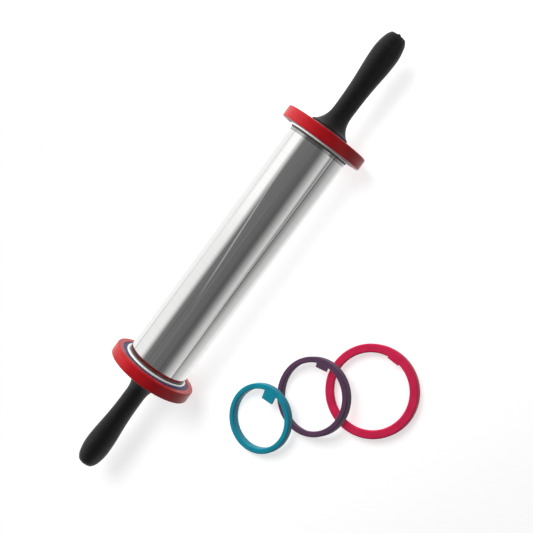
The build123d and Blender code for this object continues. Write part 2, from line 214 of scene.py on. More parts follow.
def polished_barrel_steel():
    """Stainless steel tube, ground round and mirror-polished. Clear reflections in long streaks, with
    faint polishing lines round the barrel. They are drawn 0.5 mm apart, coarser than real, to show.
    The rolled ends are painted darker than the polished length: painted shade, which dims what
    they reflect beside the rings."""
    finish = grained_finish(
        "mirror_polished_stainless_steel", {"Metallic": 1.0},
        {"lines": (0.5, 3.0, (1.0, 60.0, 60.0)), "handling": (22.0, 3.0, (2.0, 1.0, 1.0))},
        ("lines", "E8E8E7", "E2E2E1"), ("handling", 0.025, 0.05), [("lines", 0.002, 0.1)])
    tree = finish.node_tree
    shader = next(node for node in tree.nodes if node.bl_idname == "ShaderNodeBsdfPrincipled")
    polished = shader.inputs["Base Color"].links[0].from_socket
    place = add_node(tree, "ShaderNodeTexCoord").outputs["Object"]
    along = add_node(tree, "ShaderNodeSeparateXYZ", inputs={"Vector": place}).outputs["X"]
    from_middle = add_node(tree, "ShaderNodeMath", {"operation": "ABSOLUTE"}, {0: along})
    # Painted shade: the ends beside the rings get a darker colour, which dims their reflection there
    rolled = add_node(tree, "ShaderNodeMath", {"operation": "GREATER_THAN"}, {
        0: from_middle.outputs["Value"], 1: (BARREL_LENGTH / 2 - BARREL_TAPER_RUN) * MM})
    colour = add_node(tree, "ShaderNodeMix", {"data_type": "RGBA"}, {
        0: rolled.outputs["Value"], 6: polished, 7: linear_colour("AAAAAA")})
    tree.links.new(colour.outputs[2], shader.inputs["Base Color"])
    return finish


def moulded_ring(name, colour, deep, roughness):
    """Injection-moulded nylon ring in a through-colour: satin, with the mould's fine spark-eroded
    grain of about 0.3 mm and a little drift of colour and gloss where the melt flowed."""
    return grained_finish(
        name, {"IOR": 1.5, "Specular IOR Level": 0.32},
        {"flow": (9.0, 3.0, EVEN), "spark": (0.3, 2.0, EVEN), "rubbed": (2.2, 4.0, EVEN)},
        ("flow", colour, deep), ("rubbed", roughness - 0.05, roughness + 0.07),
        [("spark", 0.016, 0.22), ("rubbed", 0.05, 0.10)])


def white_cap_moulding():
    """Injection-moulded white ABS end cap: a smooth satin white that stays below paper white."""
    return grained_finish(
        "moulded_white_abs", {"IOR": 1.52, "Coat Weight": 0.2, "Coat Roughness": 0.15},
        {"flow": (12.0, 2.0, EVEN), "spark": (0.35, 2.0, EVEN)},
        ("flow", "F3F2EE", "EDECE8"), ("spark", 0.26, 0.36), [("spark", 0.010, 0.15)])


def soft_grip_elastomer():
    """Soft-touch thermoplastic elastomer moulded over the handle core: deep black, matt, with a grey
    sheen where the light grazes it and a fine leathery mould grain. The grain is drawn 1.2 mm wide,
    coarser than real, to show."""
    return grained_finish(
        "soft_touch_black_elastomer", {"IOR": 1.5, "Specular IOR Level": 0.34},
        {"grain": (1.2, 3.0, EVEN), "worn": (7.0, 4.0, (2.5, 1.0, 1.0))},
        ("grain", "18181A", "020203"), ("worn", 0.46, 0.60), [("grain", 0.18, 0.9)])


def satin_plug_moulding():
    """Moulded black polypropylene plug in the handle's tip: a little glossier and greener than the
    grip, with a mould grain of 0.4 mm."""
    return grained_finish(
        "moulded_black_polypropylene", {"IOR": 1.49}, {"grain": (0.4, 2.0, EVEN)},
        ("grain", "1A1E1D", "151918"), ("grain", 0.3, 0.4), [("grain", 0.015, 0.25)])


def gasket_rubber():
    """Cut nitrile gasket: dark olive grey with a paler bloom and a dry, slightly ragged skin."""
    return grained_finish(
        "cut_nitrile_rubber", {"IOR": 1.52}, {"bloom": (1.6, 3.0, EVEN)},
        ("bloom", "3F3E34", "4E4C40"), ("bloom", 0.55, 0.7), [("bloom", 0.04, 0.25)])


def natural_nylon():
    """Turned natural nylon bush: waxy cream with fine turning rings 0.5 mm apart."""
    return grained_finish(
        "turned_natural_nylon", {"IOR": 1.53, "Subsurface Weight": 0.15, "Subsurface Scale": 0.002},
        {"turning": (0.5, 1.0, (1.0, 40.0, 40.0))},
        ("turning", "E6E2D4", "DAD5C6"), ("turning", 0.36, 0.46), [("turning", 0.01, 0.3)])


def turned_steel():
    """Bright turned steel of the axle, washers, clips and screws: lathe lines round the axis."""
    return grained_finish(
        "bright_turned_steel", {"Metallic": 1.0}, {"lathe": (0.4, 2.0, (1.0, 40.0, 40.0))},
        ("lathe", "C2C3C5", "A9ABAE"), ("lathe", 0.22, 0.34), [("lathe", 0.01, 0.3)])


def filled_nylon():
    """Glass-filled nylon of the handle core: dark grey and dull, with short pale fibres at its skin."""
    return grained_finish(
        "glass_filled_nylon", {"IOR": 1.54}, {"fibres": (0.6, 3.0, (3.0, 1.0, 1.0))},
        ("fibres", "232326", "313135"), ("fibres", 0.45, 0.6), [("fibres", 0.03, 0.3)])


def rounded_outline(corners, support, steps=5):
    """Outline in millimetres with rounded corners, each given as (radius, along, rounding). A corner is
    cut back along both of its sides by its rounding and joined by a quadratic curve,
    start*(1-t)^2 + corner*2t(1-t) + end*t^2. A support point lies just before and after each curve,
    which keeps the flats flat in the shading."""
    corners = np.asarray(corners, float)
    corners, rounding = corners[:, :2], corners[:, 2]
    before = np.roll(corners, 1, axis=0) - corners
    after = np.roll(corners, -1, axis=0) - corners
    before_length = np.linalg.norm(before, axis=1, keepdims=True)
    after_length = np.linalg.norm(after, axis=1, keepdims=True)
    t = np.linspace(0, 1, steps)[:, None]
    outline = []
    for i, size in enumerate(rounding):
        if size == 0:
            outline.append(corners[i:i + 1])
            continue
        start = corners[i] + before[i] / before_length[i] * size
        end = corners[i] + after[i] / after_length[i] * size
        curve = start * (1 - t) ** 2 + corners[i] * 2 * t * (1 - t) + end * t ** 2
        lead = corners[i] + before[i] / before_length[i] * (size + support)
        trail = corners[i] + after[i] / after_length[i] * (size + support)
        outline.append(np.vstack([lead, curve, trail]))
    return np.vstack(outline)


def smooth_run(points, start_direction, end_direction, samples):
    """Smooth curve through points: a cubic spline on chord lengths whose second derivative is
    continuous, with a given direction at each end. Its slopes m solve
    m[i-1]*h[i] + 2*m[i]*(h[i-1]+h[i]) + m[i+1]*h[i-1] = 3*(d[i-1]*h[i] + d[i]*h[i-1]),
    where h are the chord lengths and d the chords divided by them."""
    points = np.asarray(points, float)
    chords = np.diff(points, axis=0)
    h = np.linalg.norm(chords, axis=1)
    d = chords / h[:, None]
    count = len(points)
    matrix = np.zeros((count, count))
    right = np.zeros((count, 2))
    matrix[0, 0] = matrix[-1, -1] = 1
    right[0] = np.asarray(start_direction, float) / np.linalg.norm(start_direction)
    right[-1] = np.asarray(end_direction, float) / np.linalg.norm(end_direction)
    inner = np.arange(1, count - 1)
    matrix[inner, inner - 1] = h[1:]
    matrix[inner, inner] = 2 * (h[:-1] + h[1:])
    matrix[inner, inner + 1] = h[:-1]
    right[inner] = 3 * (d[:-1] * h[1:, None] + d[1:] * h[:-1, None])
    m = np.linalg.solve(matrix, right)
    along = np.concatenate([[0], np.cumsum(h)])
    u = np.linspace(0, along[-1], samples)
    k = np.clip(np.searchsorted(along, u, side="right") - 1, 0, count - 2)
    t = ((u - along[k]) / h[k])[:, None]
    hk = h[k][:, None]
    return ((2 * t ** 3 - 3 * t ** 2 + 1) * points[k] + (t ** 3 - 2 * t ** 2 + t) * hk * m[k]
            + (3 * t ** 2 - 2 * t ** 3) * points[k + 1] + (t ** 3 - t ** 2) * hk * m[k + 1])


class Seat:
    """Where a piece sits: an origin in metres, the axis that it is turned about, and the direction
    across the axis in which its key points."""

    def __init__(self, origin, axis, key):
        self.origin = np.asarray(origin, float)
        self.axis = np.asarray(axis, float) / np.linalg.norm(axis)
        key = np.asarray(key, float) - self.axis * np.dot(key, self.axis)
        self.key = key / np.linalg.norm(key)
        self.side = np.cross(self.axis, self.key)

    def place(self, across, aside, along):
        """Millimetres towards the key, to its side and along the axis, as points in metres."""
        offset = (across[..., None] * self.key + aside[..., None] * self.side
                  + along[..., None] * self.axis)
        return self.origin + offset * MM


def pin_seat(side, station):
    """Seat on the pin's axis, station millimetres from mid-length, its axis pointing outwards."""
    return Seat((side * station * MM, pin_axis_y, pin_axis_z), (side, 0, 0), (0, 0, 1))


def read_all(items, what, width, kind=float):
    """One property of all vertices, edges or faces of a mesh, as rows of width numbers."""
    values = np.empty(len(items) * width, kind)
    items.foreach_get(what, values)
    return values.reshape(-1, width)


def ring_seat_of(node, outwards):
    """Seat of a ring read from its CAD mesh: the axis is the normal of its largest flat face, turned
    to the side given by outwards, the origin is the centre of its inner face's circle, and the key
    points at the middle of the vertices nearest to the axis, which are on the tab."""
    same_way = 0.7
    rounded_to = 4
    tab_tip_reach = 0.35 * MM
    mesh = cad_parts[node].data
    points = read_all(mesh.vertices, "co", 3)
    normals = read_all(mesh.polygons, "normal", 3)
    areas = read_all(mesh.polygons, "area", 1)[:, 0]
    facing = normals @ np.asarray(outwards, float) > same_way
    flats, flat_of = np.unique(np.round(normals[facing], rounded_to), axis=0, return_inverse=True)
    axis = flats[np.argmax(np.bincount(flat_of.ravel(), weights=areas[facing]))]
    axis = axis / np.linalg.norm(axis)
    # Any direction that isn't near the axis gives one across it
    across = np.cross(axis, (1.0, 0.0, 0.0) if abs(axis[0]) < 0.9 else (0.0, 1.0, 0.0))
    across = across / np.linalg.norm(across)
    aside = np.cross(axis, across)
    flat = np.stack([points @ across, points @ aside, points @ axis], axis=1)
    middle = (flat.min(0) + flat.max(0)) / 2
    centre = middle[0] * across + middle[1] * aside + flat[:, 2].min() * axis
    from_axis = np.hypot(flat[:, 0] - middle[0], flat[:, 1] - middle[1])
    tab_tip = points[from_axis < from_axis.min() + tab_tip_reach].mean(0)
    return Seat(centre, axis, tab_tip - centre)


def make_piece(name, points, faces, body, finish, stands_for):
    """Put points and faces into a mesh, close its seams and poles, point its faces outwards, and tell
    the frame which body it rides on and which nodes it stands for."""
    mesh = bpy.data.meshes.new(name)
    mesh.from_pydata(points.reshape(-1, 3), [], faces.reshape(-1, 4))
    worked = bmesh.new()
    worked.from_mesh(mesh)
    bmesh.ops.remove_doubles(worked, verts=worked.verts, dist=SEAM_GAP * MM)
    bmesh.ops.dissolve_degenerate(worked, edges=worked.edges, dist=SEAM_GAP * MM)
    bmesh.ops.recalc_face_normals(worked, faces=worked.faces)
    worked.to_mesh(mesh)
    worked.free()
    mesh.polygons.foreach_set("use_smooth", np.ones(len(mesh.polygons), bool))
    mesh.materials.append(finish)
    piece = bpy.data.objects.new(name, mesh)
    bpy.context.scene.collection.objects.link(piece)
    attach(piece, body)
    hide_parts(*stands_for)
    return piece


def wrap_faces(columns, rows):
    """Faces of a grid that closes on itself both ways, as index quads."""
    index = np.arange(columns * rows).reshape(columns, rows)
    beside = np.roll(index, -1, axis=0)
    return np.stack([index, beside, np.roll(beside, -1, axis=1), np.roll(index, -1, axis=1)], axis=-1)


def turned(outline, seat, columns):
    """Surface of revolution: a closed outline of (radius, along) goes round the seat's axis, with
    across = radius*cos(a) and aside = radius*sin(a) for columns angles a."""
    angle = np.arange(columns)[:, None] * (2 * math.pi / columns)
    radius, along = outline[None, :, 0], outline[None, :, 1]
    points = seat.place(radius * np.cos(angle), radius * np.sin(angle), along + 0 * angle)
    return points, wrap_faces(columns, len(outline))


def keyed(plain, key, wall, key_width, seat):
    """Surface of revolution with one straight-sided key. Outside the key the plain outline goes round
    the axis. Inside it each column is a parallel slice aside = s: outline points that the key leaves
    alone stay on their circle at the angle asin(s/wall), and the others go to across = key radius."""
    plain, key = np.asarray(plain, float), np.asarray(key, float)
    half = key_width / 2
    edge_angle = math.asin(half / wall)
    slices = np.linspace(-half, half, KEY_COLUMNS)[:, None]
    angle = np.arcsin(slices / wall)
    moved = (plain != key).any(axis=1)[None, :]
    across = np.where(moved, key[None, :, 0], plain[None, :, 0] * np.cos(angle))
    aside = np.where(moved, slices, plain[None, :, 0] * np.sin(angle))
    along = key[None, :, 1] + 0 * angle
    round_angle = np.linspace(edge_angle, 2 * math.pi - edge_angle, BESIDE_KEY_COLUMNS)[:, None]
    across = np.vstack([across, plain[None, :, 0] * np.cos(round_angle)])
    aside = np.vstack([aside, plain[None, :, 0] * np.sin(round_angle)])
    along = np.vstack([along, plain[None, :, 1] + 0 * round_angle])
    return seat.place(across, aside, along), wrap_faces(len(across), len(plain))


def round_edges(piece, seat, rims, rim_rounding, edge_rounding):
    """Round a keyed piece's edges: its rims, given as (radius, along), by their own size, and every
    other sharp edge by a smaller one. Wide flats keep their shading by weighted normals."""
    mesh = piece.data
    offset = (read_all(mesh.vertices, "co", 3) - seat.origin) / MM
    along = offset @ seat.axis
    radius = np.linalg.norm(offset - along[:, None] * seat.axis, axis=1)
    ends = read_all(mesh.edges, "vertices", 2, int)
    weight = np.zeros(len(ends))
    for rim_radius, rim_along in rims:
        on_rim = (np.abs(radius - rim_radius) < RIM_MATCH) & (np.abs(along - rim_along) < RIM_MATCH)
        weight[on_rim[ends].all(axis=1)] = 1.0
    mesh.attributes.new("bevel_weight_edge", "FLOAT", "EDGE").data.foreach_set("value", weight)
    rim = piece.modifiers.new("rim_rounding", "BEVEL")
    rim.limit_method = "WEIGHT"
    rim.width = rim_rounding * MM
    rim.segments = 5
    rim.use_clamp_overlap = False
    edge = piece.modifiers.new("edge_rounding", "BEVEL")
    edge.limit_method = "ANGLE"
    edge.angle_limit = math.radians(50)
    edge.width = edge_rounding * MM
    edge.segments = 3
    flats = piece.modifiers.new("flat_shading", "WEIGHTED_NORMAL")
    flats.mode = "FACE_AREA"
    flats.weight = 80


def rib_boxes(seat, inner, outer, low, high):
    """Closed boxes that stand round an axis: corner = (radius, aside, along) turned by each angle."""
    corner = np.array([(r, s, a) for r in (inner, outer) for s in (-1, 1) for a in (low, high)], float)
    corner[:, 1] *= RIB_THICKNESS / 2
    quads = np.array([(0, 1, 3, 2), (4, 6, 7, 5), (0, 4, 5, 1),
                      (2, 3, 7, 6), (0, 2, 6, 4), (1, 5, 7, 3)])
    angle = np.arange(RIB_COUNT)[:, None] * (2 * math.pi / RIB_COUNT)
    across = corner[None, :, 0] * np.cos(angle) - corner[None, :, 1] * np.sin(angle)
    aside = corner[None, :, 0] * np.sin(angle) + corner[None, :, 1] * np.cos(angle)
    points = seat.place(across, aside, corner[None, :, 2] + 0 * angle)
    faces = quads[None] + np.arange(RIB_COUNT)[:, None, None] * len(corner)
    return points.reshape(-1, 3), faces.reshape(-1, 4)


steel_mirror = polished_barrel_steel()
white_moulding = white_cap_moulding()
red_moulding = moulded_ring("moulded_red_nylon", "B0131C", "A01018", 0.34)
crimson_moulding = moulded_ring("moulded_crimson_nylon", "CC274F", "BC2046", 0.38)
purple_moulding = moulded_ring("moulded_purple_nylon", "50364F", "493048", 0.40)
# The mounted purple rings: their own blue-violet colour, darkened further as painted shade for the ring
# nest, where the shadowless lamps cast none
violet_moulding_with_painted_shade = moulded_ring("moulded_violet_nylon_painted_shade", "241D5C", "1E184E", 0.44)
teal_moulding = moulded_ring("moulded_teal_nylon", "108499", "0C788D", 0.37)
grip_elastomer = soft_grip_elastomer()
plug_moulding = satin_plug_moulding()
seal_rubber = gasket_rubber()
bush_nylon = natural_nylon()
bright_steel = turned_steel()
core_nylon = filled_nylon()


def barrel():
    """Tube whose ends are rolled in a little: a straight taper and then a small rounded rim, the
    quadratic curve face*(1-t)^2 + corner*2t(1-t) + side*t^2. Points just beside the taper's two ends
    keep the flats flat in the shading."""
    seat = pin_seat(1, -BARREL_LENGTH / 2)
    rim_steps = 7
    t = np.linspace(0, 1, rim_steps)[:, None]
    end_radius = BARREL_RADIUS - BARREL_TAPER_DROP
    face = np.array([end_radius - BARREL_RIM_ROUNDING, 0])
    corner = np.array([end_radius, 0])
    side = np.array([end_radius, BARREL_RIM_ROUNDING])
    rim = face * (1 - t) ** 2 + corner * 2 * t * (1 - t) + side * t ** 2
    after_rim, before_end, after_end = 0.1, 0.2, 0.15
    run = np.array([BARREL_RIM_ROUNDING + after_rim, BARREL_TAPER_RUN - before_end,
                    BARREL_TAPER_RUN, BARREL_TAPER_RUN + after_end, BARREL_LENGTH / 2])
    share = np.clip((run - BARREL_RIM_ROUNDING) / (BARREL_TAPER_RUN - BARREL_RIM_ROUNDING), 0, 1)
    taper = np.stack([end_radius + BARREL_TAPER_DROP * share, run], axis=1)
    near = np.vstack([[BARREL_BORE, 0], rim, taper])
    far = near[:-1] * (1, -1) + (0, BARREL_LENGTH)
    points, faces = turned(np.vstack([near, far[::-1]]), seat, BARREL_COLUMNS)
    make_piece("polished_barrel", points, faces, "barrel", steel_mirror,
               ["barrel_tube"])


def seal(side, name):
    """Thin gasket with rounded edges: a rounded rectangle of (radius, along) turned round the axis."""
    bore = PLUG_RADIUS + SEAL_FIT
    outline = rounded_outline([
        (bore, 0, SEAL_INNER_ROUNDING), (BARREL_RADIUS, 0, SEAL_OUTER_ROUNDING),
        (BARREL_RADIUS, SEAL_THICKNESS, SEAL_OUTER_ROUNDING),
        (bore, SEAL_THICKNESS, SEAL_INNER_ROUNDING)], support=0.03, steps=4)
    points, faces = turned(outline, pin_seat(side, BARREL_LENGTH / 2), SEAL_COLUMNS)
    make_piece(f"{name}_rubber_seal", points, faces, "barrel", seal_rubber,
               [f"{name}_end_seal"])


def end_cap(side, name):
    """Moulded cap: plug, boss, flange and keyed spigot as one keyed outline that goes round the axis,
    with six ribs between boss and skirt."""
    seat = pin_seat(side, RING_STATION)
    plug_end = -FLANGE_THICKNESS - PLUG_LENGTH
    skirt = PLUG_RADIUS - CAP_WALL
    cavity_top = KEYWAY_FLOOR - CAP_WALL
    bush_step = SPIGOT_LENGTH - BUSH_FLANGE_SINK
    head = [(BUSH_SEAT_RADIUS, plug_end), (CAP_BOSS_RADIUS, plug_end), (CAP_BOSS_RADIUS, cavity_top),
            (SPIGOT_RADIUS - CAP_WALL, cavity_top), (SPIGOT_RADIUS - CAP_WALL, -CAP_WALL),
            (skirt, -CAP_WALL), (skirt, plug_end), (PLUG_RADIUS, plug_end),
            (PLUG_RADIUS, -FLANGE_THICKNESS), (FLANGE_RADIUS, -FLANGE_THICKNESS), (FLANGE_RADIUS, 0),
            (SPIGOT_RADIUS, 0), (SPIGOT_RADIUS, KEYWAY_FLOOR)]
    tail = [(BUSH_FLANGE_SEAT, SPIGOT_LENGTH), (BUSH_FLANGE_SEAT, bush_step),
            (BUSH_SEAT_RADIUS, bush_step)]
    plain = head + [(SPIGOT_RADIUS, KEYWAY_FLOOR), (SPIGOT_RADIUS, SPIGOT_LENGTH)] + tail
    key = head + [(KEYWAY_DEPTH_RADIUS, KEYWAY_FLOOR), (KEYWAY_DEPTH_RADIUS, SPIGOT_LENGTH)] + tail
    points, faces = keyed(plain, key, SPIGOT_RADIUS, KEYWAY_WIDTH, seat)
    rib_points, rib_faces = rib_boxes(
        seat, (CAP_BOSS_RADIUS + BUSH_SEAT_RADIUS) / 2, skirt + CAP_WALL / 2,
        plug_end + RIB_SETBACK, -CAP_WALL)
    faces = np.vstack([faces.reshape(-1, 4), rib_faces + points.size // 3])
    points = np.vstack([points.reshape(-1, 3), rib_points])
    piece = make_piece(f"{name}_white_cap", points, faces, "barrel", white_moulding,
                       [f"{name}_end_cap"])
    round_edges(piece, seat, [(FLANGE_RADIUS, -FLANGE_THICKNESS), (FLANGE_RADIUS, 0)],
                FLANGE_RIM_ROUNDING, CAP_EDGE_ROUNDING)


def thickness_ring(node, name, outwards, slot, finish,
                   outer, bore, lip, width, tab_tip, tab_thickness, rim_rounding):
    """Stepped ring with rounded rims and one straight-sided tab on the inside of its outer face: one
    keyed outline of (radius, along) that goes round the axis."""
    seat = ring_seat_of(node, outwards)
    step = width - tab_thickness
    outside = [(outer, 0), (outer, width)]
    inside = [(bore, step), (bore, 0)]
    plain = outside + [(lip, width), (lip, step)] + inside
    key = outside + [(tab_tip, width), (tab_tip, step)] + inside
    points, faces = keyed(plain, key, lip, TAB_WIDTH, seat)
    piece = make_piece(name, points, faces, node, finish, [node])
    round_edges(piece, seat, [*outside, (lip, width)], rim_rounding, RING_EDGE_ROUNDING)
    return piece


def grip(side, name):
    """Handle grip: flange, flare, slim neck, bulb and rounded tip as three smooth runs, then the
    recess in the tip and the bore that the core fills. The points between are shares of a run's
    change of radius and of the grip's length, and the outline goes round the axis."""
    flare_height = GRIP_FLANGE_RADIUS - GRIP_NECK_RADIUS
    swell_height = GRIP_BULB_RADIUS - GRIP_NECK_RADIUS
    round_height = GRIP_BULB_RADIUS - GRIP_TIP_RADIUS
    edge_inset, edge_drop = 0.25, 0.1
    corner = (GRIP_FLANGE_RADIUS - edge_inset, GRIP_FLANGE_EDGE)
    high_flare = (GRIP_NECK_RADIUS + 0.442 * flare_height, 0.058 * GRIP_LENGTH)
    low_flare = (GRIP_NECK_RADIUS + 0.122 * flare_height, 0.117 * GRIP_LENGTH)
    neck = (GRIP_NECK_RADIUS, 0.28 * GRIP_LENGTH)
    swell = (GRIP_NECK_RADIUS + 0.42 * swell_height, 0.55 * GRIP_LENGTH)
    bulb = (GRIP_BULB_RADIUS, 0.80 * GRIP_LENGTH)
    shoulder = (GRIP_TIP_RADIUS + 0.63 * round_height, 0.93 * GRIP_LENGTH)
    tip = (GRIP_TIP_RADIUS, GRIP_LENGTH - GRIP_TIP_ROUNDING)
    along_pin = (0, 1)
    flare = smooth_run([corner, high_flare, low_flare, neck],
                       start_direction=(-1, 0.45), end_direction=along_pin, samples=26)
    waist = smooth_run([neck, swell, bulb],
                       start_direction=along_pin, end_direction=along_pin, samples=40)
    crown = smooth_run([bulb, shoulder, tip],
                       start_direction=along_pin, end_direction=(-0.9, 1), samples=22)
    disc_bore = CORE_DISC_RADIUS + CORE_FIT
    core_bore = CORE_RADIUS + CORE_FIT
    stem_bore = TIP_STEM_RADIUS + CORE_FIT
    recess = TIP_PLUG_RADIUS + CORE_FIT
    disc_floor = CORE_DISC_THICKNESS + CORE_FIT
    recess_floor = GRIP_LENGTH - TIP_PLUG_RECESS
    core_end = GRIP_LENGTH - GRIP_TIP_COVER
    foot = rounded_outline([
        (disc_bore, 0, 0), (GRIP_FLANGE_RADIUS, 0, GRIP_FOOT_ROUNDING),
        (GRIP_FLANGE_RADIUS, GRIP_FLANGE_EDGE - edge_drop, 0)], support=0.05)
    rim = rounded_outline([
        (*tip, 0), (GRIP_TIP_RADIUS - GRIP_TIP_INSET, GRIP_LENGTH, 0.35), (recess, GRIP_LENGTH, 0.3),
        (recess, recess_floor, 0)], support=0.04)
    bore = np.array([(stem_bore, recess_floor), (stem_bore, core_end), (core_bore, core_end + CORE_FIT),
                     (core_bore, disc_floor), (disc_bore, disc_floor)])
    outline = np.vstack([foot, flare, waist[1:], crown[1:], rim[1:], bore])
    points, faces = turned(outline, pin_seat(side, GRIP_STATION), GRIP_COLUMNS)
    make_piece(f"{name}_soft_grip", points, faces, "handles", grip_elastomer,
               [f"{name}_handle_grip"])


def tip_plug(side, name):
    """Plug in the handle's tip: a dished disc with a small nub in the middle and a stem below. The
    outline of (radius, along, rounding) starts and ends on the axis, where its points close into
    poles, and goes round it."""
    stem_end = TIP_PLUG_RECESS - GRIP_TIP_COVER - TIP_STEM_DEPTH
    outline = rounded_outline([
        (0, TIP_NUB_TOP, 0), (TIP_NUB_RADIUS, TIP_NUB_TOP, 0.9), (TIP_NUB_RADIUS, TIP_DISH_FLOOR, 0.2),
        (TIP_DISH_RADIUS, TIP_DISH_FLOOR, 0.3), (TIP_DISH_RIM, TIP_PLUG_THICKNESS, 0.3),
        (TIP_PLUG_RADIUS, TIP_PLUG_THICKNESS, 0.2), (TIP_PLUG_RADIUS, 0, 0), (TIP_STEM_RADIUS, 0, 0),
        (TIP_STEM_RADIUS, stem_end, 0.3), (0, stem_end, 0)], support=0.04)
    seat = pin_seat(side, GRIP_STATION + GRIP_LENGTH - TIP_PLUG_RECESS)
    points, faces = turned(outline, seat, TIP_PLUG_COLUMNS)
    make_piece(f"{name}_tip_plug", points, faces, "handles", plug_moulding,
               [f"{name}_end_plug"])


barrel()
dressed = {"axle_rod": bright_steel}
for side, name in ((-1, "left"), (1, "right")):
    outwards = (side, 0, 0)
    seal(side, name)
    end_cap(side, name)
    thickness_ring(f"{name}_teal_ring", f"{name}_ring_2_mm", outwards,
                   "teal_plastic", teal_moulding, **TEAL_RING)
    thickness_ring(f"{name}_purple_ring", f"{name}_ring_5_mm", outwards,
                   "purple_plastic", violet_moulding_with_painted_shade, **PURPLE_RING)
    thickness_ring(f"{name}_red_ring", f"{name}_ring_10_mm", outwards,
                   "red_plastic", red_moulding, **RED_RING)
    grip(side, name)
    tip_plug(side, name)
    dressed |= {f"{name}_axle_bush": bush_nylon, f"{name}_thrust_washer": bright_steel,
                f"{name}_retaining_clip": bright_steel, f"{name}_handle_core": core_nylon,
                f"{name}_handle_screw": bright_steel}
for node, finish in dressed.items():
    for material_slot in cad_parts[node].material_slots:
        material_slot.material = finish
upwards = (0, 0, 1)
loose_rings = (
    thickness_ring("spare_red_ring", "spare_ring_10_mm", upwards,
                   "crimson_plastic", crimson_moulding, **RED_RING),
    thickness_ring("spare_purple_ring", "spare_ring_5_mm", upwards,
                   "purple_plastic", purple_moulding, **PURPLE_RING),
    thickness_ring("spare_teal_ring", "spare_ring_2_mm", upwards,
                   "teal_plastic", teal_moulding, **TEAL_RING),
)
# The barrel mirrors the room alone, so its streaks stay clear of the loose rings
for ring in loose_rings:
    ring.visible_glossy = False

# The table's half side and the distances at which it goes over to plain white, in metres, the glow
# that takes its unshaded parts to white, and how strongly mirrors see it
FLOOR_HALF = 4.0
FLOOR_NEAR = 0.18
FLOOR_FAR = 0.30
FLOOR_LIFT = 0.30
TABLE_MIRRORED = 1.12

# How much the mirrored bands of the table, the screens and the glint shift along the pin
TABLE_SLANT = -2.6
SCREEN_SLANT = 0.6
GLINT_SLANT = 3.3

# The room's even light on the object, and how strongly mirrors see its bands
AMBIENT = 0.12
ROOM_MIRRORED = 1.15

# What mirrors see of the table, a painted reflection: for mirror rays the table glows in these bands,
# by the distance across the pin in millimetres: white beside the pin, then falling off to the grey of
# the room behind the camera, and paler again far out
TABLE_BANDS = (
    (-900, "A6A6A6"), (-430, "646464"), (-340, "666666"), (-250, "8E8E8E"), (-100, "9C9C9C"),
    (-20, "C2C2C2"), (12, "D4D4D4"), (30, "F2F2F2"), (60, "FFFFFF"),
)

# What the barrel mirrors above the table, by the angle from the horizon behind the pin, over the
# top, to the horizon at the ring side: a wide softbox with a soft lower edge, the dark room above,
# then a paler screen
ROOM_BANDS = (
    (0, "E8E8E8"), (10, "F4F4F4"), (40, "F4F4F4"), (48, "E0E0E0"), (59, "989898"), (63, "727272"),
    (100, "6C6C6C"), (133, "5C5C5C"), (140, "6E6E6E"), (158, "B4B4B4"), (171, "D6D6D6"), (180, "8A8A8A"),
)

# The screens above the ring side hang aslant between these angles, turned about this mirrored X
ASLANT_FROM = 110
ASLANT_TO = 140
ASLANT_PIVOT = -0.12

# A thin gap between two of the screens, seen as a short light line that slants along the barrel, and
# the stretch of the reflection's X in which it opens
GLINT_BANDS = ((50.8, "000000"), (54.2, "A0A0A0"), (57.4, "000000"))
GLINT_SPAN = ((-0.20, "000000"), (-0.13, "FFFFFF"), (-0.06, "FFFFFF"), (0.01, "000000"))

# The brighter part of the softbox, and the mirrored X over which it comes in towards the barrel's
# right half
BRIGHT_BANDS = ((4, "000000"), (18, "767676"), (42, "767676"), (50, "000000"))
BRIGHT_FROM = -0.14
BRIGHT_TO = -0.03

# The softbox's cloth: streaks per unit of the mirrored X and per radian of the angle, and how much
# they take off and add
CLOTH_SCALE = (2.0, 26.0, 1.0)
CLOTH_DARKER = -0.045
CLOTH_LIGHTER = 0.05


def bands_over(tree, value, bands, unit):
    """Colour from a value through a ramp whose stops are given as (value in units, hex colour)."""
    low, high = bands[0][0], bands[-1][0]
    share = add_node(tree, "ShaderNodeMapRange", inputs={
        "Value": value, "From Min": low * unit, "From Max": high * unit})
    shade = add_node(tree, "ShaderNodeValToRGB", inputs={"Fac": share.outputs["Result"]})
    ramp = shade.color_ramp
    while len(ramp.elements) < len(bands):
        ramp.elements.new(0.5)
    for element, (station, code) in zip(ramp.elements, bands):
        element.position = (station - low) / (high - low)
        element.color = linear_colour(code)
    return shade.outputs["Color"]


